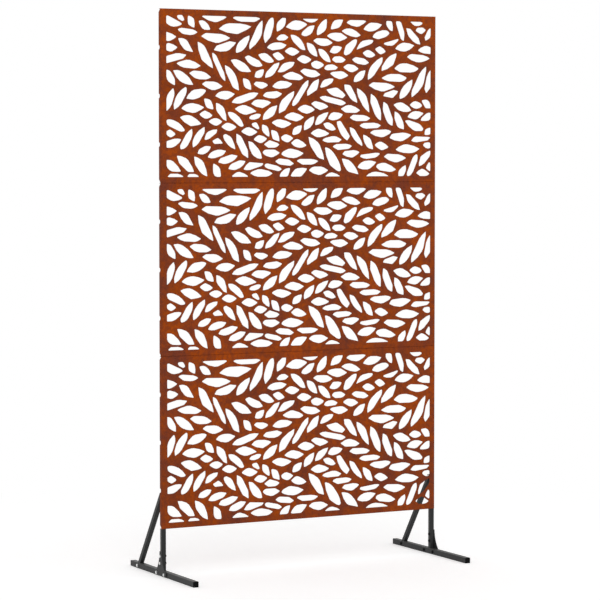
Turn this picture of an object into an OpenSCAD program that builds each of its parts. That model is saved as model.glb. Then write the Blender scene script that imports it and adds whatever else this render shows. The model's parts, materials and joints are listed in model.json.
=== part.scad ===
// Free-standing garden screen. Three equal folded sheet panels with cut-out leaves are stacked
// edge to edge and bolted together, and stand on two braced feet of square tube.
// +Z is up and +Y points to the back. The origin lies on the floor, midway between the feet.
// Lengths are in millimetres and angles in degrees.

/* [Panels] */
// Width of each panel
panel_w = 1100; // [900:10:1300]
// Height of each panel
panel_h = 600; // [500:10:700]
// Thickness of the sheet
sheet_t = 1.2; // [1:0.1:1.8]
// Depth of the edges that are folded back
flange_d = 18; // [17:0.5:24]
// Outer radius of the folds
fold_r = 2.2; // [2:0.1:4]
// Plain border left round the leaves
border = 21; // [15:1:40]

/* [Leaves] */
// Least width of metal left between two leaves
web = 7; // [5:0.5:12]
// Width of the metal left along the stems
stem_w = 10; // [7:0.5:16]
// Half the width of a leaf, before its length adds to it
leaf_half_w = 10; // [6:0.5:14]
// What each millimetre of a leaf's length adds to that half width
leaf_fullness = 0.1; // [0.05:0.01:0.14]
// Radius at the tip of a leaf
tip_r = 3; // [1:0.5:6]
// Smallest opening worth cutting, in square millimetres
least_opening = 120; // [60:10:300]

/* [Panel edges] */
// Radius of the half-round notches in the side edges
notch_r = 8; // [4:1:10]
// Distance from one side notch to the next
notch_pitch = 167; // [120:1:200]
// Length of the slanted cut at the ends of the side edges
corner_relief = 13; // [8:1:14]
// Width of the slit between two folded edges at a corner
corner_slit = 0.5; // [0.3:0.1:1]
// Distance from the side of a panel to its first joining bolt
joint_inset = 100; // [60:5:200]
// Number of bolts that join one panel to the next
joint_bolts = 4; // [2:1:6]

/* [Stand] */
// Height of the gap under the lowest panel
ground_gap = 166; // [140:1:200]
// Length of each foot over its end caps
foot_len = 520; // [480:10:700]
// Width and height of the foot tube
foot_size = 20; // [20:1:25]
// Wall of the foot tube
foot_wall = 1.2; // [1:0.1:1.6]
// Width of the post tube
post_size = 16; // [15:1:17]
// Wall of the post tube
post_wall = 1.2; // [1:0.1:1.8]
// Width of the brace tube
brace_size = 16; // [14:1:16]
// Wall of the brace tube
brace_wall = 1.2; // [1:0.1:1.6]
// Outer radius of the tubes' corners
tube_r = 1.8; // [1.8:0.1:2.4]
// Distance from the post's middle back to the brace, at the foot
brace_reach = 198; // [150:1:215]
// Height of the brace's upper end above the lowest panel's bottom edge
brace_rise = 125; // [110:1:150]
// Distance from the panel's back edge forward to the brace's middle, at its upper end
brace_seat = 4.2; // [3.5:0.1:5]

/* [Gussets] */
// Thickness of the gusset plates
gusset_t = 2.5; // [2:0.5:4]
// Height of a gusset above the floor
gusset_top = 88; // [80:1:110]
// Length of a gusset along the foot
gusset_len = 92; // [84:1:120]
// Radius of its hollow sides
gusset_hollow_r = 101; // [90:1:130]
// Radius of its corners
gusset_corner_r = 3; // [1:0.5:4]
// Height of its lower edge above the floor
gusset_bottom = 2; // [0:0.5:3]
// Height of the lower bolt through the post
post_bolt_z = 46; // [40:1:50]
// Distance between the two bolts through the post
post_bolt_pitch = 25; // [20:1:28]
// Distance between the two bolts through the foot
foot_bolt_pitch = 62; // [58:1:68]

/* [Fasteners] */
// Diameter of the bolts
bolt_d = 6; // [5:1:6]
// Width of their heads and nuts across the flats
bolt_flats = 10; // [9:0.5:10]
// Height of their heads
bolt_head_h = 4; // [3:0.5:5]
// Height of the nuts between the panels
bolt_nut_h = 5; // [4:0.5:6]
// Height of the low closed nuts on the inner sides of the stand
cap_nut_h = 2.6; // [2.2:0.2:5]
// Diameter of the studs that hold the braces
stud_d = 5; // [4:0.5:5]
// Width of the stud nuts across the flats
stud_flats = 8; // [7:0.5:8]
// Height of the stud nuts
stud_nut_h = 4; // [3:0.5:5]
// Distance from a stud up to the end of its brace
stud_drop = 5; // [4.5:0.5:8]
// Distance from a stud back to the edge of the panel
stud_inset = 4.8; // [4.2:0.1:5.4]
// How far a bolt or stud stands out of an open nut
thread_end = 2; // [1:0.5:4]
// Clearance all round a bolt or stud in its hole
hole_gap = 0.3; // [0.2:0.05:0.5]
// Clearance all round a thread in its nut
thread_gap = 0.05; // [0.02:0.01:0.1]
// Length of the threaded plug in the top of each post
plug_len = 22; // [18:1:30]
// Length of the screw that goes down into it
plug_screw_len = 20; // [14:1:22]

/* [End caps] */
// Thickness of the end caps outside the tube
cap_t = 2; // [1.5:0.5:4]
// Length of the cap's plug inside the tube
cap_plug_len = 14; // [10:1:18]
// Wall of that plug
cap_wall = 1.6; // [1.2:0.1:2.5]
// Number of ribs that grip the tube
cap_ribs = 3; // [2:1:4]
// Thickness of each rib
cap_rib_t = 1; // [0.8:0.1:1.4]
// Clearance between the plug and the tube, which the ribs fill
cap_gap = 0.6; // [0.4:0.1:0.8]

/* [Hidden] */
$fn = 24;

rust = "#8b3e16";
graphite = "#3d3f41";
black_plastic = "#1b1c1d";
zinc = "#b9bcc0";

cut_over = 1; // how far a cut runs past the faces that it opens
side_x = panel_w/2;
back_y = post_size/2;
front_y = back_y - flange_d;
post_x = side_x - post_size/2;
foot_x = side_x - foot_size/2;
foot_bore = foot_size - 2*foot_wall;

// The brace's outer face lies against the foot's wall and the panel's side edge.
brace_x = side_x - max(sheet_t, foot_wall) - brace_size/2;
brace_top_z = ground_gap + brace_rise;
foot_mid_z = foot_size/2;
brace_lean = atan((brace_reach - back_y + brace_seat)/(brace_top_z - foot_mid_z));
brace_half_d = brace_size/2/cos(brace_lean);
slot_gap = 0.3;
stud_y = back_y - stud_inset;
stud_z = brace_top_z - stud_drop;
function brace_y(z) = brace_reach - tan(brace_lean)*(z - foot_mid_z);

// ---- The leaves ----
// Each row of leaves is [count, first leaf, middle leaf, last leaf]; two leaves need no middle one.
// A leaf is [x, depth below the top edge, length, heading] on a sheet as large as leaf_sheet.
// A heading of 0 points right and one of 90 points up.
leaf_sheet = [1100, 600];
leaf_rows = [
    // upper left
    [1, [42,43,88,-15]], [1, [26,96,68,0]], [1, [35,133,58,2]], [1, [46,171,108,15]],
    [1, [76,31,32,-25]], [1, [116,43,48,-60]], [1, [167,54,54,-32]], [1, [102,75,78,-6]],
    [2, [205,24,96,0], [330,26,108,0]],
    [1, [285,60,128,5]], [1, [210,94,114,-2]], [1, [246,125,92,18]],
    [1, [315,117,84,50]], [2, [367,83,116,64], [418,62,104,73]], [1, [467,42,66,58]],
    [4, [308,192,90,-26], [383,169,76,-22], [456,156,50,-14]],
    [1, [449,121,80,8]], [1, [468,89,56,2]],
    // left
    [1, [98,124,80,-35]],
    [4, [106,191,94,-4], [173,244,84,-8], [246,294,78,6]],
    [3, [170,157,110,-57], [222,197,112,-63], [273,236,108,-59]], [1, [332,255,52,-50]],
    [2, [37,236,64,-58], [85,236,92,-32]],
    [3, [34,312,86,72], [74,306,96,60], [136,292,86,22]],
    [2, [121,340,90,3], [113,384,86,-15]],
    [3, [183,326,52,-45], [231,353,76,-57], [288,379,84,-38]],
    [3, [172,364,52,-4], [209,387,54,0], [261,405,60,0]],
    [1, [54,402,88,-24]], [1, [36,429,40,-6]],
    [1, [38,461,86,16]], [3, [97,450,90,60], [144,441,86,58], [191,432,62,36]],
    [4, [41,541,80,-28], [122,538,92,-48], [214,561,64,-64]],
    [2, [55,577,60,0], [122,577,44,0]],
    [4, [165,486,58,25], [236,508,80,16], [292,538,74,22]], [1, [359,540,90,17]],
    [1, [215,456,46,-15]],
    [3, [262,458,78,-50], [313,472,100,-62], [364,488,88,-50]],
    // middle
    [3, [380,219,50,42], [431,205,80,44], [487,193,78,28]],
    [2, [386,256,58,-3], [471,257,82,8]],
    [2, [514,227,88,-3], [583,212,84,-8]],
    [2, [324,303,112,18], [432,291,78,6]],
    [2, [326,346,86,-5], [387,321,80,4]], [1, [363,368,50,16]],
    [3, [422,354,78,42], [487,317,104,52], [543,285,118,56]],
    [2, [594,263,78,52], [650,247,64,30]],
    [1, [468,391,80,-2]], [1, [518,369,80,0]], [1, [567,341,72,0]], [1, [621,326,72,-8]],
    [3, [365,402,36,-30], [405,417,52,-56], [443,435,52,-50]],
    [3, [341,421,66,0], [384,447,54,4], [429,466,62,0]],
    [1, [489,444,54,0]], [1, [535,463,68,-10]],
    [4, [530,415,52,42], [603,381,70,48], [683,365,68,12]],
    [2, [425,495,72,0], [510,498,94,2]],
    [1, [433,546,76,-12]], [1, [480,529,76,-6]], [1, [572,524,88,0]],
    [2, [304,577,64,0], [388,567,90,0]],
    [3, [481,567,56,42], [537,564,72,22], [616,557,80,0]], [1, [674,580,66,0]],
    // upper middle
    [1, [583,22,62,0]],
    [1, [530,45,92,10]], [3, [573,65,70,38], [630,51,76,60], [691,36,66,38]],
    [3, [634,101,80,-4], [692,81,88,-2], [749,68,80,-10]],
    [3, [534,106,82,-41], [590,130,66,-48], [640,150,70,-42]],
    [4, [510,138,60,0], [584,175,60,0], [666,193,58,5]], [1, [700,216,76,-4]],
    [3, [686,128,54,20], [746,118,86,50], [806,108,80,26]],
    [2, [698,163,58,0], [748,192,64,-4]],
    [3, [787,167,72,-8], [822,141,54,-6], [869,127,46,-10]],
    // upper right
    [3, [770,28,82,5], [837,44,80,14], [873,70,80,16]],
    [2, [912,94,72,14], [970,113,82,10]],
    [1, [907,36,50,-60]], [1, [951,52,88,-70]], [1, [1006,74,84,-44]],
    [1, [1020,24,52,-4]], [1, [1037,51,44,4]], [1, [1070,64,56,62]], [1, [1066,124,82,0]],
    [3, [783,221,66,42], [848,191,106,54], [905,168,92,46]],
    [4, [875,255,110,-2], [952,208,112,0], [1025,149,102,-4]],
    [1, [911,283,68,18]], [1, [976,266,92,54]], [1, [1030,238,130,62]], [1, [1070,236,88,78]],
    // right
    [1, [747,282,96,-54]], [4, [798,308,104,-60], [876,344,106,-68], [948,382,84,-62]], [1, [687,280,98,-20]],
    [1, [678,311,120,-12]],
    [4, [745,340,82,-4], [806,384,88,0], [872,421,92,3]], [1, [951,435,96,6]],
    [3, [962,331,80,-14], [1019,322,56,0], [1064,318,52,-30]],
    [2, [1016,358,70,12], [1064,364,60,27]], [1, [1013,396,90,-22]], [1, [1070,417,42,42]],
    [1, [1038,445,82,8]], [1, [1068,467,42,0]],
    [1, [983,482,102,2]], [1, [930,511,94,-3]], [1, [874,470,60,-8]],
    [1, [661,402,56,-20]], [1, [718,417,100,-54]], [1, [770,442,96,-55]], [1, [819,461,76,-56]],
    [1, [622,426,76,0]], [1, [671,449,80,2]], [1, [713,472,80,2]], [1, [748,496,72,6]], [1, [826,503,86,7]],
    // lower right
    [1, [608,482,112,-54]], [1, [676,521,118,-54]], [1, [746,547,98,-42]],
    [2, [813,538,82,14], [891,549,90,-8]], [1, [858,580,100,0]],
    [1, [961,563,56,60]], [1, [1003,540,100,66]], [1, [1057,514,80,48]],
    [1, [1049,568,60,0]], [1, [1074,546,36,90]],
];

// The stems that the leaves grow from, as points on the same sheet; no opening crosses them.
leaf_stems = [
    [[305,286],[242,259],[190,212],[140,165],[105,105],[83,91]],
    [[253,151],[330,152],[385,132],[429,105],[452,82]],
    [[330,226],[385,242],[440,237],[484,212],[528,193],[583,187]],
    [[385,392],[418,385],[468,366],[520,336],[567,303],[622,270],[677,259]],
    [[22,488],[110,488],[146,477],[176,459],[220,436],[248,424]],
    [[407,528],[341,523],[286,490],[237,468],[193,470]],
    [[1007,426],[935,407],[880,391],[831,363],[781,325],[722,300]],
    [[902,490],[847,490],[792,476],[743,446],[699,421]],
    [[781,578],[710,561],[649,528],[594,512],[575,500]],
    [[470,74],[512,71],[563,90],[612,84],[655,68],[700,56]],
    [[668,148],[710,146],[770,132],[825,112],[880,96],[946,78]],
    [[732,247],[800,246],[858,228],[902,206],[946,167],[990,134]],
    [[858,292],[935,305],[1007,303],[1076,286]],
];

function unit(v) = v/norm(v);
function along(a, b) = a[0]*b[0] + a[1]*b[1];
function middle(s) = (s[0] + s[1])/2;

// A leaf's place in its row: a straight line through two leaves, or a smooth curve through three.
function row_leaf(r, t) =
    len(r) == 2 ? r[1]
    : len(r) == 3 ? (1 - t)*r[1] + t*r[2]
    : (1 - t)*(1 - 2*t)*r[1] + 4*t*(1 - t)*r[2] + t*(2*t - 1)*r[3];

// A point of that sheet on the panel, whatever the panel's own size is.
leaf_scale = min(panel_w/leaf_sheet[0], panel_h/leaf_sheet[1]);
function on_panel(p) =
    [p[0]*panel_w/leaf_sheet[0], (leaf_sheet[1] - p[1])*panel_h/leaf_sheet[1]];

// Every leaf as a line from its stalk to its tip.
midribs = [for (r = leaf_rows, i = [0:r[0] - 1])
    let (k = row_leaf(r, i/max(1, r[0] - 1)),
         c = on_panel(k),
         half = [cos(k[3]), sin(k[3])]*k[2]*leaf_scale/2)
    [c - half, c + half]];
stem_lines = [for (s = leaf_stems, i = [0:len(s) - 2]) [on_panel(s[i]), on_panel(s[i + 1])]];

// The inner part of each midrib, from which the web to the neighbouring leaves is measured.
midrib_core = 0.56;
cores = [for (s = midribs) [for (p = s) middle(s) + (p - middle(s))*midrib_core]];

function nearest_on(s, p) =
    let (d = s[1] - s[0], t = along(p - s[0], d)/along(d, d)) s[0] + d*min(1, max(0, t));
function shorter(a, b) = norm(a[1] - a[0]) <= norm(b[1] - b[0]) ? a : b;
// The shortest line from one core to another.
function link(s, q) =
    shorter(shorter([s[0], nearest_on(q, s[0])], [s[1], nearest_on(q, s[1])]),
            shorter([nearest_on(s, q[0]), q[0]], [nearest_on(s, q[1]), q[1]]));

// Points along the right and the left side of a leaf, as [share of its length, share of its width].
right_side = [[0.24, 0.62], [0.56, 1], [0.86, 0.42]];
left_side = [[0.76, 0.56], [0.40, 1], [0.14, 0.50]];
function leaf_outline(s) =
    let (l = norm(s[1] - s[0]), u = (s[1] - s[0])/l, v = [-u[1], u[0]],
         w = leaf_half_w*leaf_scale + leaf_fullness*l)
    concat([s[0]], [for (p = right_side) s[0] + u*p[0]*l - v*p[1]*w],
           [s[1]], [for (p = left_side) s[0] + u*p[0]*l + v*p[1]*w]);

// Keeps what lies behind a line through m that is square to n.
function cut_back(shape, m, n) = len(shape) < 3 ? [] :
    [for (i = [0:len(shape) - 1])
        let (a = shape[i], b = shape[(i + 1)%len(shape)], da = along(a - m, n), db = along(b - m, n))
        each concat(da <= 0 ? [a] : [], da*db < 0 ? [a + (b - a)*da/(da - db)] : [])];
function cut_back_all(shape, lines, i = 0) =
    i == len(lines) ? shape : cut_back_all(cut_back(shape, lines[i][0], lines[i][1]), lines, i + 1);

// Leaves further apart than this, beyond their own lengths, can't meet.
reach = 5*leaf_half_w*leaf_scale;
border_lines = [[[border, 0], [-1, 0]], [[panel_w - border, 0], [1, 0]],
                [[0, border], [0, -1]], [[0, panel_h - border], [0, 1]]];
function in_reach(s, q) =
    norm(middle(s) - middle(q)) < norm(s[1] - s[0])/2 + norm(q[1] - q[0])/2 + reach;
function lines_round(i) =
    let (s = cores[i],
         others = [for (j = [0:len(cores) - 1]) if (j != i && in_reach(s, cores[j])) cores[j]],
         stems = [for (q = stem_lines) if (in_reach(s, q)) q])
    concat(border_lines,
           [for (q = others) let (k = link(s, q), n = unit(k[1] - k[0])) [middle(k) - n*web/2, n]],
           [for (q = stems) let (k = link(s, q)) if (norm(k[1] - k[0]) > stem_w/2)
               let (n = unit(k[1] - k[0])) [k[1] - n*stem_w/2, n]]);

function cross_z(a, b) = a[0]*b[1] - a[1]*b[0];
function area(p) =
    abs([for (i = [0:len(p) - 1]) cross_z(p[i], p[(i + 1)%len(p)])]*[for (q = p) 1])/2;
least_edge = 1.5;
function without_short_edges(p) =
    [for (i = [0:len(p) - 1]) if (norm(p[(i + 1)%len(p)] - p[i]) > least_edge) p[i]];

// Corners that turn by less than this stay sharp, and up to blunt_turn two points round them.
least_turn = 16;
blunt_turn = 50;
// The blunter a corner is, the wider its curve; one that turns by 90 degrees has the radius r.
function curve_r(r, turn) = r*pow(90/turn, 2);
function rounded(p, r) = let (n = len(p)) [for (i = [0:n - 1])
    let (b = p[i], u = unit(p[(i + n - 1)%n] - b), v = unit(p[(i + 1)%n] - b),
         turn = max(1, acos(max(-1, min(1, -along(u, v))))),
         edge = min(norm(p[(i + n - 1)%n] - b), norm(p[(i + 1)%n] - b)),
         k = min(curve_r(r, turn)*tan(turn/2), 0.4*edge), s = k/tan(turn/2))
    each turn < least_turn ? [b]
        : turn < blunt_turn ? [b + u*k, b + v*k]
        : [b + u*k, b + unit(u + v)*(norm([k, s]) - s), b + v*k]];

openings = [for (i = [0:len(midribs) - 1])
    let (p = without_short_edges(cut_back_all(leaf_outline(midribs[i]), lines_round(i))))
    if (len(p) > 2) if (area(p) > least_opening) rounded(p, tip_r)];

// ---- The folded tray of one panel ----

module fold_profile(span, depth, r) {
    translate([-span/2, r]) square([span, depth - r]);
    translate([r - span/2, 0]) square([span - 2*r, depth]);
    for (s = [-1, 1]) translate([s*(span/2 - r), r]) circle(r);
}

// A block whose front edges are rounded on all four sides; its front lies at y = 0.
module folded_block(w, d, h, r) {
    intersection() {
        linear_extrude(h) fold_profile(w, d, r);
        translate([-w/2, 0, h/2]) rotate([0, 90, 0]) linear_extrude(w) fold_profile(h, d, r);
    }
}

module tray_blank() {
    difference() {
        folded_block(panel_w, flange_d, panel_h, fold_r);
        translate([0, sheet_t, sheet_t])
            folded_block(panel_w - 2*sheet_t, flange_d, panel_h - 2*sheet_t, fold_r - sheet_t);
    }
}

// What is cut from the lower right corner: the slanted end of the side edge and the slit beside it.
module corner_cut() {
    inner = side_x - sheet_t;
    run_out = flange_d + cut_over;
    translate([inner, 0, 0]) rotate([90, 0, 90]) linear_extrude(sheet_t + cut_over)
        polygon([[flange_d - corner_relief - cut_over, -cut_over], [run_out, -cut_over],
                 [run_out, corner_relief + cut_over]]);
    translate([inner - corner_slit, fold_r, -cut_over])
        cube([corner_slit, flange_d, sheet_t + cut_over]);
}

module leaf_cut() {
    translate([-side_x, sheet_t + cut_over, 0]) rotate([90, 0, 0])
        linear_extrude(sheet_t + 2*cut_over) for (leaf = openings) polygon(leaf);
}

joint_pitch = (panel_w - 2*joint_inset)/(joint_bolts - 1);
module at_joint_bolts() {
    for (i = [0:joint_bolts - 1]) translate([i*joint_pitch + joint_inset - side_x, 0, 0]) children();
}

module panel(level) {
    color(rust) translate([0, front_y, ground_gap + level*panel_h]) difference() {
        tray_blank();
        leaf_cut();
        for (s = [0, 1], t = [0, 1])
            translate([0, 0, t*panel_h]) mirror([s, 0, 0]) mirror([0, 0, t]) corner_cut();
        for (i = [-1:1])
            translate([-side_x - cut_over, flange_d, panel_h/2 + i*notch_pitch]) rotate([0, 90, 0])
                cylinder(r = notch_r, h = panel_w + 2*cut_over);
        translate([0, -front_y, -cut_over]) at_joint_bolts()
            cylinder(d = bolt_d + 2*hole_gap, h = panel_h + 2*cut_over);
        for (s = [-1, 1]) translate([s*post_x, -front_y, -cut_over])
            cylinder(d = bolt_d + 2*hole_gap, h = sheet_t + 2*cut_over);
    }
}

// ---- Fasteners, drawn with the underside of the head or nut at z = 0 ----

// The corners of the outer end are turned off at 30 degrees.
module hex(flats, h) {
    end_r = 0.46*flats;
    intersection() {
        cylinder(d = flats/cos(30), h = h, $fn = 6);
        cylinder(r1 = end_r + h/tan(30), r2 = end_r, h = h);
    }
}

module bolt(length) {
    hex(bolt_flats, bolt_head_h);
    translate([0, 0, -length]) cylinder(d = bolt_d, h = length);
}

module open_nut(flats, h, d) {
    difference() {
        hex(flats, h);
        translate([0, 0, -cut_over]) cylinder(d = d + 2*thread_gap, h = h + 2*cut_over);
    }
}

// A low nut whose far end is closed by a slight crown.
module cap_nut() {
    base_r = 0.42*bolt_flats;
    crown_r = (base_r*base_r + cap_nut_crown*cap_nut_crown)/(2*cap_nut_crown);
    difference() {
        union() {
            hex(bolt_flats, cap_nut_h);
            intersection() {
                translate([0, 0, cap_nut_h + cap_nut_crown - crown_r]) sphere(crown_r);
                cylinder(r = base_r, h = cap_nut_h + 2*cap_nut_crown);
            }
        }
        translate([0, 0, -cut_over])
            cylinder(d = bolt_d + 2*thread_gap, h = cap_nut_h + cut_over + thread_gap);
    }
}
cap_nut_crown = 0.6;

// Turns a piece drawn along +Z to point along +X, out of the right side of the screen.
module outward() rotate([0, 90, 0]) children();
module inward() rotate([0, -90, 0]) children();
module on_side(s) mirror([s < 0 ? 1 : 0, 0, 0]) children();

module joint_bolt_set(level) {
    color(zinc) translate([0, 0, ground_gap + level*panel_h + sheet_t]) at_joint_bolts()
        bolt(2*sheet_t + bolt_nut_h + thread_end);
}

module joint_nut_set(level) {
    color(zinc) translate([0, 0, ground_gap + level*panel_h - sheet_t - bolt_nut_h]) at_joint_bolts()
        open_nut(bolt_flats, bolt_nut_h, bolt_d);
}

// ---- The stand: every piece is drawn for the right side and mirrored for the left ----

module round_square(size, r) {
    square([size, size - 2*r], center = true);
    square([size - 2*r, size], center = true);
    for (s = [-1, 1], t = [-1, 1]) translate([s*(size/2 - r), t*(size/2 - r)]) circle(r);
}

module tube(size, wall, length) {
    linear_extrude(length) difference() {
        round_square(size, tube_r);
        round_square(size - 2*wall, max(tube_r - wall, inner_corner_r));
    }
}
inner_corner_r = 0.2;

module cross_hole(d, y, z) {
    translate([side_x - foot_size - cut_over, y, z]) outward()
        cylinder(d = d + 2*hole_gap, h = foot_size + 2*cut_over);
}

module foot_tube(s) {
    slot_front = brace_y(foot_size) - brace_half_d - slot_gap;
    slot_back = brace_y(foot_size - foot_wall) + brace_half_d + slot_gap;
    color(graphite) on_side(s) difference() {
        translate([foot_x, foot_len/2 - cap_t, foot_mid_z]) rotate([90, 0, 0])
            tube(foot_size, foot_wall, foot_len - 2*cap_t);
        for (t = [-1, 1]) cross_hole(bolt_d, t*foot_bolt_pitch/2, foot_mid_z);
        cross_hole(bolt_d, brace_reach, foot_mid_z);
        translate([brace_x - brace_size/2 - slot_gap, slot_front, foot_mid_z])
            cube([brace_size + slot_gap, slot_back - slot_front, foot_size]);
    }
}

module end_cap(s, end) {
    color(black_plastic) on_side(s) translate([foot_x, end*foot_len/2, foot_mid_z])
        rotate([end*90, 0, 0]) {
            linear_extrude(cap_t) round_square(foot_size, tube_r);
            difference() {
                union() {
                    linear_extrude(cap_t + cap_plug_len) round_square(foot_bore - 2*cap_gap, 1);
                    for (i = [1:cap_ribs])
                        translate([0, 0, cap_t + i*cap_plug_len/(cap_ribs + 1)])
                            linear_extrude(cap_rib_t) round_square(foot_bore, 1);
                }
                translate([0, 0, cap_t]) linear_extrude(cap_plug_len + cut_over)
                    square(foot_bore - 2*cap_gap - 2*cap_wall, center = true);
            }
        }
}

module post(s) {
    color(graphite) on_side(s) difference() {
        translate([post_x, 0, foot_size]) tube(post_size, post_wall, ground_gap - foot_size);
        for (i = [0, 1]) cross_hole(bolt_d, 0, post_bolt_z + i*post_bolt_pitch);
    }
}

module post_plug(s) {
    color(zinc) on_side(s) translate([post_x, 0, ground_gap - plug_len]) linear_extrude(plug_len)
        difference() {
            round_square(post_size - 2*post_wall, max(tube_r - post_wall, inner_corner_r));
            circle(d = bolt_d + 2*thread_gap);
        }
}

module post_screw_pair() {
    color(zinc) for (s = [-1, 1]) translate([s*post_x, 0, ground_gap + sheet_t]) bolt(plug_screw_len);
}

// An upright with hollow sides that run out into a straight base.
module gusset_outline() {
    base_top = foot_size - gusset_bottom;
    arc_x = post_size/2 + gusset_hollow_r;
    spread = arc_x - sqrt(pow(gusset_hollow_r, 2) - pow(gusset_top - base_top, 2));
    r = gusset_corner_r;
    translate([r - gusset_len/2, gusset_bottom]) square([gusset_len - 2*r, base_top - gusset_bottom]);
    translate([-gusset_len/2, gusset_bottom + r]) square([gusset_len, base_top - gusset_bottom - 2*r]);
    for (s = [-1, 1], z = [gusset_bottom + r, base_top - r])
        translate([s*(gusset_len/2 - r), z]) circle(r);
    difference() {
        translate([-spread, base_top - r]) square([2*spread, gusset_top - base_top]);
        for (s = [-1, 1]) translate([s*arc_x, gusset_top]) circle(gusset_hollow_r, $fn = 48);
    }
    translate([0, gusset_top - r]) for (s = [-1, 1]) translate([s*(post_size/2 - r), 0]) circle(r);
    translate([r - post_size/2, gusset_top - 2*r]) square([post_size - 2*r, 2*r]);
}

// The bolts through a gusset, as [y, z]: two go through the post and two through the foot.
post_bolts = [for (i = [0, 1]) [0, post_bolt_z + i*post_bolt_pitch]];
foot_bolts = [for (t = [-1, 1]) [t*foot_bolt_pitch/2, foot_mid_z]];
module at_bolts(x, spots) {
    for (p = spots) translate([x, p[0], p[1]]) children();
}

module gusset(s) {
    color(graphite) on_side(s) translate([side_x, 0, 0]) rotate([90, 0, 90]) linear_extrude(gusset_t)
        difference() {
            gusset_outline();
            for (p = concat(post_bolts, foot_bolts)) translate(p) circle(d = bolt_d + 2*hole_gap);
        }
}

module gusset_bolt_set(s) {
    color(zinc) on_side(s) {
        at_bolts(side_x + gusset_t, post_bolts) outward() bolt(gusset_t + post_size + cap_nut_h);
        at_bolts(side_x + gusset_t, foot_bolts) outward() bolt(gusset_t + foot_size + cap_nut_h);
    }
}

module gusset_nut_set(s) {
    color(black_plastic) on_side(s) {
        at_bolts(side_x - post_size, post_bolts) inward() cap_nut();
        at_bolts(side_x - foot_size, foot_bolts) inward() cap_nut();
    }
}

// Both ends of the brace are cut level; the lower one stands on the floor of the foot tube.
module brace(s) {
    cut_h = brace_top_z - foot_wall;
    mid_z = (brace_top_z + foot_wall)/2;
    color(graphite) on_side(s) difference() {
        intersection() {
            translate([brace_x, brace_y(mid_z), mid_z]) rotate([brace_lean, 0, 0])
                translate([0, 0, -cut_h]) tube(brace_size, brace_wall, 2*cut_h);
            translate([brace_x - brace_size, -foot_len, foot_wall])
                cube([2*brace_size, 2*foot_len, cut_h]);
        }
        cross_hole(bolt_d, brace_reach, foot_mid_z);
        cross_hole(stud_d, stud_y, stud_z);
    }
}

module brace_bolt(s) {
    color(zinc) on_side(s) translate([side_x, brace_reach, foot_mid_z]) outward()
        bolt(foot_size + cap_nut_h);
}

module brace_nut(s) {
    color(black_plastic) on_side(s) translate([side_x - foot_size, brace_reach, foot_mid_z])
        inward() cap_nut();
}

brace_inner_x = brace_x - brace_size/2;
module brace_stud_pair() {
    root_x = side_x - sheet_t;
    color(zinc) for (s = [-1, 1]) on_side(s) translate([root_x, stud_y, stud_z]) inward()
        cylinder(d = stud_d, h = root_x - brace_inner_x + stud_nut_h + thread_end);
}

module brace_stud_nut_pair() {
    color(zinc) for (s = [-1, 1]) on_side(s) translate([brace_inner_x, stud_y, stud_z]) inward()
        open_nut(stud_flats, stud_nut_h, stud_d);
}

panel(0);  // bottom_panel
panel(1);  // middle_panel
panel(2);  // top_panel
joint_bolt_set(1);  // lower_joint_bolts
joint_nut_set(1);  // lower_joint_nuts
joint_bolt_set(2);  // upper_joint_bolts
joint_nut_set(2);  // upper_joint_nuts
foot_tube(-1);  // left_foot_tube
foot_tube(1);  // right_foot_tube
end_cap(-1, -1);  // left_front_cap
end_cap(-1, 1);  // left_rear_cap
end_cap(1, -1);  // right_front_cap
end_cap(1, 1);  // right_rear_cap
post(-1);  // left_post
post(1);  // right_post
post_plug(-1);  // left_post_plug
post_plug(1);  // right_post_plug
post_screw_pair();  // post_screws
gusset(-1);  // left_gusset
gusset(1);  // right_gusset
gusset_bolt_set(-1);  // left_gusset_bolts
gusset_bolt_set(1);  // right_gusset_bolts
gusset_nut_set(-1);  // left_gusset_nuts
gusset_nut_set(1);  // right_gusset_nuts
brace(-1);  // left_brace
brace(1);  // right_brace
brace_bolt(-1);  // left_brace_bolt
brace_bolt(1);  // right_brace_bolt
brace_nut(-1);  // left_brace_nut
brace_nut(1);  // right_brace_nut
brace_stud_pair();  // brace_studs
brace_stud_nut_pair();  // brace_stud_nuts
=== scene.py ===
import json
import math

import bmesh
import bpy
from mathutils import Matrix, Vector


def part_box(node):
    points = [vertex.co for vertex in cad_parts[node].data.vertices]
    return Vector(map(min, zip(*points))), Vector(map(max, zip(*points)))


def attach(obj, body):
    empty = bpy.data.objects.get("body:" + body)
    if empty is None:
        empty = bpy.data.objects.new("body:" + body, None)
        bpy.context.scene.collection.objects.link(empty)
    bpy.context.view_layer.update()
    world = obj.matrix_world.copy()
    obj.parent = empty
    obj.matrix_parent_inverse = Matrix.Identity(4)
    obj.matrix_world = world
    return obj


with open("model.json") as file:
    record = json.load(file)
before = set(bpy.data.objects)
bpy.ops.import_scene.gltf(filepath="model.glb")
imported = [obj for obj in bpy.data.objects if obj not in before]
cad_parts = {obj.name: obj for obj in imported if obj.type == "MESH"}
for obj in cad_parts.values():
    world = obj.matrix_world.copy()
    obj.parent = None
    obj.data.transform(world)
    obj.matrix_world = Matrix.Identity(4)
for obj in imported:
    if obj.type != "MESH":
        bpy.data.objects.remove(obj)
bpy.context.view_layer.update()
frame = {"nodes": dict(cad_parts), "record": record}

print("frame loaded:", len(frame["nodes"]), "nodes")


# small helpers for node trees

def hexColour(code):
    def toLinear(channel):
        return channel / 12.92 if channel <= 0.04045 else ((channel + 0.055) / 1.055) ** 2.4
    parts = [int(code[i:i + 2], 16) / 255 for i in (1, 3, 5)]
    return tuple(toLinear(part) for part in parts) + (1.0,)


def addNode(tree, kind, inputs=None, **settings):
    node = tree.nodes.new(kind)
    for name, value in settings.items():
        setattr(node, name, value)
    for name, value in (inputs or {}).items():
        if isinstance(value, bpy.types.NodeSocket):
            tree.links.new(value, node.inputs[name])
        else:
            node.inputs[name].default_value = value
    return node


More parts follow.
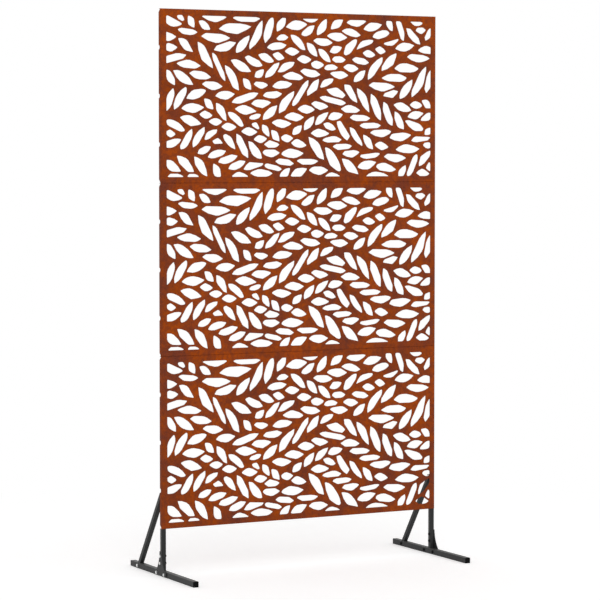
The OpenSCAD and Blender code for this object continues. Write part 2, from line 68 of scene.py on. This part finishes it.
def addMath(tree, operation, first, second=0.5, clamp=False):
    node = addNode(tree, "ShaderNodeMath", {0: first, 1: second}, operation=operation, use_clamp=clamp)
    return node.outputs[0]


def addMap(tree, value, low, high, newLow=0.0, newHigh=1.0):
    node = addNode(tree, "ShaderNodeMapRange", {"Value": value, "From Min": low, "From Max": high,
                                                "To Min": newLow, "To Max": newHigh})
    return node.outputs["Result"]


def addMix(tree, factor, first, second):
    # 0, 6 and 7 are the factor and the two colours, and 2 is the mixed colour
    node = addNode(tree, "ShaderNodeMix", {0: factor, 6: first, 7: second}, data_type="RGBA")
    return node.outputs[2]


def addTint(tree, mask, share, under, code):
    return addMix(tree, addMath(tree, "MULTIPLY", mask, share), under, hexColour(code))


def addNoise(tree, place, scale, noise):
    return addNode(tree, "ShaderNodeTexNoise", {"Vector": place, "Scale": scale, **noise}).outputs[0]


def newGroup(name, numbers, outputs):
    group = bpy.data.node_groups.new(name, "ShaderNodeTree")
    group.interface.new_socket("Vector", in_out="INPUT", socket_type="NodeSocketVector")
    for label, value in numbers.items():
        socket = group.interface.new_socket(label, in_out="INPUT", socket_type="NodeSocketFloat")
        socket.default_value = value
    for label in outputs:
        group.interface.new_socket(label, in_out="OUTPUT", socket_type="NodeSocketFloat")
    return group, group.nodes.new("NodeGroupInput").outputs, group.nodes.new("NodeGroupOutput").inputs


def useGroup(tree, group, place, numbers):
    return addNode(tree, "ShaderNodeGroup", {"Vector": place, **numbers}, node_tree=group).outputs


# effects that several finishes share; each finish sets the inputs to its own values

patchEffect = {
    "inputs": {"Scale": 20.0, "Spread": 0.12},
    "middle": 0.5,      # of the noise; the mask rises over the spread on both sides of it
    "noise": {"Detail": 6.0, "Roughness": 0.62, "Distortion": 0.35},
}


def buildPatches(effect):
    group, given, out = newGroup("patchyTone", effect["inputs"], ["Mask"])
    noise = addNoise(group, given["Vector"], given["Scale"], effect["noise"])
    low = addMath(group, "SUBTRACT", effect["middle"], given["Spread"])
    high = addMath(group, "ADD", effect["middle"], given["Spread"])
    group.links.new(addMap(group, noise, low, high), out["Mask"])
    return group


grainEffect = {
    "inputs": {"Scale": 900.0, "Coarse Share": 0.35},
    "coarseScale": 0.22,    # times the fine scale
    "fineNoise": {"Detail": 3.0, "Roughness": 0.55},
    "coarseNoise": {"Detail": 4.0, "Roughness": 0.6},
    "pits": (0.05, 0.3),    # from a pit's middle to its rim
}


def buildGrain(effect):
    group, given, out = newGroup("fineGrain", effect["inputs"], ["Grain", "Pits"])
    fine = addNoise(group, given["Vector"], given["Scale"], effect["fineNoise"])
    coarseScale = addMath(group, "MULTIPLY", given["Scale"], effect["coarseScale"])
    coarse = addNoise(group, given["Vector"], coarseScale, effect["coarseNoise"])
    both = addNode(group, "ShaderNodeMix", {0: given["Coarse Share"], 2: fine, 3: coarse})
    cells = addNode(group, "ShaderNodeTexVoronoi", {"Vector": given["Vector"], "Scale": coarseScale})
    group.links.new(both.outputs[0], out["Grain"])
    group.links.new(addMap(group, cells.outputs["Distance"], *effect["pits"]), out["Pits"])
    return group


bevelSamples = 4

rubEffect = {
    "inputs": {"Radius": 0.001, "Strength": 1.0},
    "turn": (0.995, 0.8),   # cosine of the turn at which rubbing starts, and at which it is full
    "breakScale": 140.0, "breakNoise": {"Detail": 4.0, "Roughness": 0.65}, "breaks": (0.42, 0.62),
}


def buildEdgeRub(effect):
    group, given, out = newGroup("edgeRub", effect["inputs"], ["Mask"])
    bevel = addNode(group, "ShaderNodeBevel", {"Radius": given["Radius"]}, samples=bevelSamples)
    surface = group.nodes.new("ShaderNodeNewGeometry")
    turn = addNode(group, "ShaderNodeVectorMath",
                   {0: bevel.outputs[0], 1: surface.outputs["True Normal"]}, operation="DOT_PRODUCT")
    edge = addMap(group, turn.outputs["Value"], *effect["turn"])
    broken = addNoise(group, given["Vector"], effect["breakScale"], effect["breakNoise"])
    worn = addMath(group, "MULTIPLY", edge, addMap(group, broken, *effect["breaks"]))
    group.links.new(addMath(group, "MULTIPLY", worn, given["Strength"], clamp=True), out["Mask"])
    return group


dustEffect = {
    "inputs": {"Amount": 0.2},
    "upward": (0.35, 0.95),     # how far up a face looks where dust starts, and where it is full
    "cloudScale": 38.0, "cloudNoise": {"Detail": 5.0, "Roughness": 0.6}, "clouds": (0.3, 0.75),
}


def buildDust(effect):
    group, given, out = newGroup("settledDust", effect["inputs"], ["Mask"])
    surface = group.nodes.new("ShaderNodeNewGeometry")
    facing = addNode(group, "ShaderNodeSeparateXYZ", {0: surface.outputs["Normal"]})
    upward = addMap(group, facing.outputs["Z"], *effect["upward"])
    cloud = addNoise(group, given["Vector"], effect["cloudScale"], effect["cloudNoise"])
    soft = addMath(group, "MULTIPLY", upward, addMap(group, cloud, *effect["clouds"]))
    group.links.new(addMath(group, "MULTIPLY", soft, given["Amount"], clamp=True), out["Mask"])
    return group


patchyTone = buildPatches(patchEffect)
fineGrain = buildGrain(grainEffect)
edgeRub = buildEdgeRub(rubEffect)
settledDust = buildDust(dustEffect)


# what every finish does at its start and its end

grainLimits = (0.3, 0.7)    # nearly all of the grain's values lie between these


def newMaterial(name):
    material = bpy.data.materials.new(name)
    material.use_nodes = True
    tree = material.node_tree
    place = tree.nodes.new("ShaderNodeTexCoord").outputs["Object"]
    return material, tree, tree.nodes["Principled BSDF"], place


def grainRoughness(tree, grain, look):
    return addMap(tree, grain["Grain"], *grainLimits, *look["roughness"])


def finishShader(tree, shader, colour, roughness, height, look):
    tree.links.new(colour, shader.inputs["Base Color"])
    tree.links.new(roughness, shader.inputs["Roughness"])
    for name, value in look["shader"].items():
        shader.inputs[name].default_value = value
    # the solids' edges are sharp, so the shader rounds them
    rounded = addNode(tree, "ShaderNodeBevel", {"Radius": look["softEdge"]}, samples=bevelSamples)
    bump = addNode(tree, "ShaderNodeBump", {"Height": height, "Strength": 1.0, "Distance": look["bump"],
                                            "Normal": rounded.outputs[0]})
    tree.links.new(bump.outputs[0], shader.inputs["Normal"])


rustLook = {
    "body": "#873908", "warm": "#aa4800", "deep": "#452725", "plum": "#5f312b", "cutEdge": "#4a210d",
    "broad": {"Scale": 4.5, "Spread": 0.1}, "patch": {"Scale": 13.0, "Spread": 0.09},
    "mottle": {"Scale": 75.0, "Spread": 0.09}, "speck": {"Scale": 210.0, "Spread": 0.14},
    "streak": {"Scale": 1.0, "Spread": 0.2}, "streakStretch": (60.0, 60.0, 3.0),
    "grain": {"Scale": 1500.0}, "rub": {"Radius": 0.0025, "Strength": 0.7},
    "plumShares": (0.95, 0.25),     # where the broad tone is the body's, and where it is warm
    "mottleShare": 0.5, "speckShare": 0.34, "streakShare": 0.18,
    "cutFaceShare": 0.75, "cutFaceTurn": 0.4,
    "cutFaceDepth": 0.00132,        # a little more than the sheet's 1.2 mm
    "roughness": (0.62, 0.84), "shader": {"Specular IOR Level": 0.1},
    "speckHeight": 0.4, "bump": 0.00012, "softEdge": 0.0002,
}


def cutFaceMask(tree, place, panelFront, look):
    # a face within the sheet's thickness that looks sideways, up or down was cut by the laser
    surface = tree.nodes.new("ShaderNodeNewGeometry")
    facing = addNode(tree, "ShaderNodeSeparateXYZ", {0: surface.outputs["True Normal"]})
    point = addNode(tree, "ShaderNodeSeparateXYZ", {0: place})
    sideways = addMath(tree, "LESS_THAN", addMath(tree, "ABSOLUTE", facing.outputs["Y"]),
                       look["cutFaceTurn"])
    inSheet = addMath(tree, "LESS_THAN", point.outputs["Y"], panelFront + look["cutFaceDepth"])
    return addMath(tree, "MULTIPLY", sideways, inSheet)


def rustedSheetMaterial(look, panelFront):
    material, tree, shader, place = newMaterial("rustedSheet")
    broad, patch, mottle, speck = (useGroup(tree, patchyTone, place, look[name])["Mask"]
                                   for name in ("broad", "patch", "mottle", "speck"))
    grain = useGroup(tree, fineGrain, place, look["grain"])
    runs = addNode(tree, "ShaderNodeMapping", {"Vector": place, "Scale": look["streakStretch"]})
    streak = useGroup(tree, patchyTone, runs.outputs[0], look["streak"])["Mask"]
    colour = addMix(tree, broad, hexColour(look["body"]), hexColour(look["warm"]))
    plumShare = addMap(tree, broad, 0.0, 1.0, *look["plumShares"])
    colour = addTint(tree, patch, plumShare, colour, look["plum"])
    colour = addTint(tree, mottle, look["mottleShare"], colour, look["deep"])
    colour = addTint(tree, speck, look["speckShare"], colour, look["warm"])
    colour = addTint(tree, streak, look["streakShare"], colour, look["warm"])
    cutFace = cutFaceMask(tree, place, panelFront, look)
    colour = addTint(tree, cutFace, look["cutFaceShare"], colour, look["cutEdge"])
    rub = useGroup(tree, edgeRub, place, look["rub"])["Mask"]
    colour = addMix(tree, rub, colour, hexColour(look["cutEdge"]))
    height = addMath(tree, "ADD", grain["Grain"], addMath(tree, "MULTIPLY", speck, look["speckHeight"]))
    finishShader(tree, shader, colour, grainRoughness(tree, grain, look), height, look)
    return material


paintLook = {
    "body": "#252626", "pale": "#333434", "bare": "#646668", "dustTone": "#807d77",
    "patch": {"Scale": 15.0, "Spread": 0.2}, "grain": {"Scale": 2600.0},
    "rub": {"Radius": 0.0011, "Strength": 0.35}, "dust": {"Amount": 0.22},
    "patchShare": 0.35, "pitShare": 0.12, "dustRoughness": 0.6,
    "roughness": (0.36, 0.54), "shader": {"Specular IOR Level": 0.2},
    "bump": 0.00006, "softEdge": 0.0004,
}


def standPaintMaterial(look):
    material, tree, shader, place = newMaterial("standPaint")
    patch = useGroup(tree, patchyTone, place, look["patch"])["Mask"]
    grain = useGroup(tree, fineGrain, place, look["grain"])
    rub = useGroup(tree, edgeRub, place, look["rub"])["Mask"]
    dust = useGroup(tree, settledDust, place, look["dust"])["Mask"]
    colour = addTint(tree, patch, look["patchShare"], hexColour(look["body"]), look["pale"])
    colour = addTint(tree, grain["Pits"], look["pitShare"], colour, look["pale"])
    colour = addMix(tree, rub, colour, hexColour(look["bare"]))
    colour = addMix(tree, dust, colour, hexColour(look["dustTone"]))
    roughness = addMath(tree, "ADD", grainRoughness(tree, grain, look),
                        addMath(tree, "MULTIPLY", dust, look["dustRoughness"]))
    finishShader(tree, shader, colour, roughness, grain["Grain"], look)
    return material


plasticLook = {
    "body": "#030303", "pale": "#0d0d0d", "dustTone": "#807d77",
    "grain": {"Scale": 3400.0}, "rub": {"Radius": 0.0008, "Strength": 0.12}, "dust": {"Amount": 0.06},
    "grainShare": 0.3,
    "roughness": (0.48, 0.66), "shader": {"Specular IOR Level": 0.08},
    "bump": 0.00005, "softEdge": 0.0005,
}


def blackPlasticMaterial(look):
    material, tree, shader, place = newMaterial("blackPlastic")
    grain = useGroup(tree, fineGrain, place, look["grain"])
    rub = useGroup(tree, edgeRub, place, look["rub"])["Mask"]
    dust = useGroup(tree, settledDust, place, look["dust"])["Mask"]
    colour = addTint(tree, grain["Grain"], look["grainShare"], hexColour(look["body"]), look["pale"])
    colour = addMix(tree, addMath(tree, "MAXIMUM", rub, dust), colour, hexColour(look["dustTone"]))
    finishShader(tree, shader, colour, grainRoughness(tree, grain, look), grain["Grain"], look)
    return material


zincLook = {
    "body": "#eceef0", "dull": "#c2c5c9", "warm": "#e0d9c6",
    "patch": {"Scale": 190.0, "Spread": 0.16}, "tint": {"Scale": 70.0, "Spread": 0.2},
    "grain": {"Scale": 2000.0}, "patchShare": 0.5, "tintShare": 0.3,
    "roughness": (0.24, 0.4), "shader": {"Metallic": 1.0},
    "bump": 0.00002, "softEdge": 0.0003,
}


def zincPlateMaterial(look):
    material, tree, shader, place = newMaterial("zincPlate")
    patch = useGroup(tree, patchyTone, place, look["patch"])["Mask"]
    tint = useGroup(tree, patchyTone, place, look["tint"])["Mask"]
    grain = useGroup(tree, fineGrain, place, look["grain"])
    colour = addTint(tree, patch, look["patchShare"], hexColour(look["body"]), look["dull"])
    colour = addTint(tree, tint, look["tintShare"], colour, look["warm"])
    finishShader(tree, shader, colour, grainRoughness(tree, grain, look), grain["Grain"], look)
    return material


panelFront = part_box("middle_panel")[0].y
finishes = {
    "rusted_sheet": rustedSheetMaterial(rustLook, panelFront),
    "stand_paint": standPaintMaterial(paintLook),
    "black_plastic": blackPlasticMaterial(plasticLook),
    "zinc_plate": zincPlateMaterial(zincLook),
}
for part in frame["record"]["subparts"]:
    piece = frame["nodes"][part["node"]]
    piece.data.materials.clear()
    piece.data.materials.append(finishes[part["material_slot"]])
print("finishes built:", len(finishes))


# threads on the ends of the bolts and studs that stand out of their open nuts

threadLook = {
    "jointPitch": 0.001, "studPitch": 0.0008, "length": 0.0019,
    "clearEnd": 0.0003,                     # the plain stretch at the tip
    "height": 0.00016, "sunk": 0.00004,     # of the ridge over the shank, and of its foot in it
    "halfWidth": 0.4, "firstRidge": 0.5,    # shares of the pitch
    "stepsPerTurn": 18, "fewestSteps": 6,
    "endDepth": 0.00001, "apart": 0.03,     # to find the tips and tell them from each other
}


def shankEnds(nodeName, distance, look):
    # the open end of each shank is where this distance is least
    points = [vertex.co.copy() for vertex in frame["nodes"][nodeName].data.vertices]
    nearest = min(distance(point) for point in points)
    ends = {}
    for point in points:
        if distance(point) < nearest + look["endDepth"]:
            ends.setdefault(round(point.x / look["apart"]), []).append(point)
    spots = [sum(rim, Vector()) / len(rim) for rim in ends.values()]
    return spots, max((point - spots[0]).length for point in list(ends.values())[0])


def addThread(sheet, end, axis, radius, pitch, look):
    side = axis.orthogonal().normalized()
    start = end + axis * look["clearEnd"]
    profile = ((-look["halfWidth"], -look["sunk"]), (0.0, look["height"]),
               (look["halfWidth"], -look["sunk"]))
    corners = [sheet.verts.new(start + axis * (look["firstRidge"] + along) * pitch
                               + side * (radius + out)) for along, out in profile]
    ridge = sheet.faces.new(corners)
    turns = (look["length"] - look["clearEnd"] - pitch) / pitch
    steps = max(look["fewestSteps"], round(turns * look["stepsPerTurn"]))
    bmesh.ops.spin(sheet, geom=list(ridge.verts) + list(ridge.edges) + [ridge], cent=end, axis=axis,
                   dvec=axis * turns * pitch / steps, angle=2 * math.pi * turns, steps=steps,
                   use_merge=False, use_duplicate=False)


def makeThreads(name, nodeNames, distance, inward, pitch, look):
    sheet = bmesh.new()
    for nodeName in nodeNames:
        spots, radius = shankEnds(nodeName, distance, look)
        for spot in spots:
            addThread(sheet, spot, inward(spot), radius, pitch, look)
    openEdges = [edge for edge in sheet.edges if len(edge.link_faces) == 1]
    bmesh.ops.holes_fill(sheet, edges=openEdges, sides=3)
    bmesh.ops.recalc_face_normals(sheet, faces=sheet.faces)
    mesh = bpy.data.meshes.new(name)
    sheet.to_mesh(mesh)
    sheet.free()
    piece = bpy.data.objects.new(name, mesh)
    bpy.context.scene.collection.objects.link(piece)
    mesh.materials.append(finishes["zinc_plate"])
    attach(piece, "root")
    print("threads:", name, len(mesh.polygons), "faces")


# the joint bolts end below their nuts, and the studs end towards the middle of the screen
makeThreads("jointBoltThreads", ["lower_joint_bolts", "upper_joint_bolts"],
            lambda point: point.z, lambda spot: Vector((0.0, 0.0, 1.0)),
            threadLook["jointPitch"], threadLook)
makeThreads("braceStudThreads", ["brace_studs"],
            lambda point: abs(point.x), lambda spot: Vector((math.copysign(1.0, spot.x), 0.0, 0.0)),
            threadLook["studPitch"], threadLook)


# studio

white = (1.0, 1.0, 1.0, 1.0)
black = (0.0, 0.0, 0.0, 1.0)

floorLook = {
    "half": 30.0, "colour": "#f4f4f4", "lift": 0.33,
    "fadeStart": 0.7, "fadeEnd": 2.2,   # the camera sees plain white beyond the second
}


def makeFloor(look):
    mesh = bpy.data.meshes.new("studioFloor")
    sheet = bmesh.new()
    bmesh.ops.create_grid(sheet, x_segments=2, y_segments=2, size=look["half"])
    sheet.to_mesh(mesh)
    sheet.free()
    floor = bpy.data.objects.new("studioFloor", mesh)
    bpy.context.scene.collection.objects.link(floor)
    material, tree, shader, place = newMaterial("studioFloorPaint")
    away = addNode(tree, "ShaderNodeVectorMath", {0: place}, operation="LENGTH").outputs["Value"]
    far = addMap(tree, away, look["fadeStart"], look["fadeEnd"])
    far.node.interpolation_type = "SMOOTHSTEP"
    rays = tree.nodes.new("ShaderNodeLightPath").outputs
    seenFar = addMath(tree, "MULTIPLY", rays["Is Camera Ray"], far)
    tree.links.new(addMix(tree, seenFar, hexColour(look["colour"]), black), shader.inputs["Base Color"])
    seen = addMath(tree, "MULTIPLY", rays["Is Camera Ray"],
                   addMap(tree, far, 0.0, 1.0, look["lift"], 1.0))
    mirrored = addMath(tree, "MAXIMUM", rays["Is Glossy Ray"], rays["Is Transmission Ray"])
    lift = addMath(tree, "ADD", seen, addMath(tree, "MULTIPLY", mirrored, look["lift"]))
    tree.links.new(lift, shader.inputs["Emission Strength"])
    shader.inputs["Emission Color"].default_value = white
    shader.inputs["Roughness"].default_value = 1.0
    shader.inputs["Specular IOR Level"].default_value = 0.0
    mesh.materials.append(material)


worldLook = {"ambient": 0.62}


def makeWorld(look):
    world = bpy.data.worlds.new("studioWorld")
    world.use_nodes = True
    bpy.context.scene.world = world
    tree = world.node_tree
    background = tree.nodes["Background"]
    background.inputs["Color"].default_value = white
    rays = tree.nodes.new("ShaderNodeLightPath").outputs
    seen = addMath(tree, "MAXIMUM", rays["Is Camera Ray"], rays["Is Glossy Ray"])
    seen = addMath(tree, "MAXIMUM", seen, rays["Is Transmission Ray"])
    tree.links.new(addMap(tree, seen, 0.0, 1.0, look["ambient"], 1.0), background.inputs["Strength"])


# places in metres, powers in watts
lampLooks = {
    "keyLamp": {"place": (-3.2, -7.1, 5.5), "power": 165.0, "size": 4.0},
    "fillLamp": {"place": (6.0, -5.0, 3.5), "power": 60.0, "size": 5.0},
    "backLamp": {"place": (1.0, 6.5, 4.5), "power": 60.0, "size": 5.0},
}
lampAim = (0.0, 0.0, 0.9)


def makeLamp(name, look, aim):
    light = bpy.data.lights.new(name, "AREA")
    light.shape = "SQUARE"
    light.size = look["size"]
    light.energy = look["power"]
    lamp = bpy.data.objects.new(name, light)
    lamp.location = look["place"]
    lamp.rotation_euler = (Vector(aim) - Vector(look["place"])).to_track_quat("-Z", "Y").to_euler()
    bpy.context.scene.collection.objects.link(lamp)


makeFloor(floorLook)
makeWorld(worldLook)
for lampName, lampLook in lampLooks.items():
    makeLamp(lampName, lampLook, lampAim)
print("studio built")


# camera, from where the photograph shows the corners of the panels and the ends of the feet

photoCamera = {
    "place": (-4.162, -7.844, 1.458), "turn": 27.93, "dip": 3.0, "shiftY": -0.021,
    "focalPixels": 2498.7, "framePixels": 600, "sensorWidth": 36.0, "clipEnd": 200.0,
}


def makeCamera(look):
    lens = bpy.data.cameras.new("photoCamera")
    lens.sensor_width = look["sensorWidth"]
    lens.lens = look["sensorWidth"] * look["focalPixels"] / look["framePixels"]
    lens.shift_y = look["shiftY"]
    lens.clip_end = look["clipEnd"]
    camera = bpy.data.objects.new("photoCamera", lens)
    camera.location = look["place"]
    camera.rotation_euler = (math.radians(90 - look["dip"]), 0.0, math.radians(-look["turn"]))
    bpy.context.scene.collection.objects.link(camera)
    bpy.context.scene.camera = camera


makeCamera(photoCamera)
bpy.context.scene.view_settings.view_transform = "Standard"
print("camera placed")
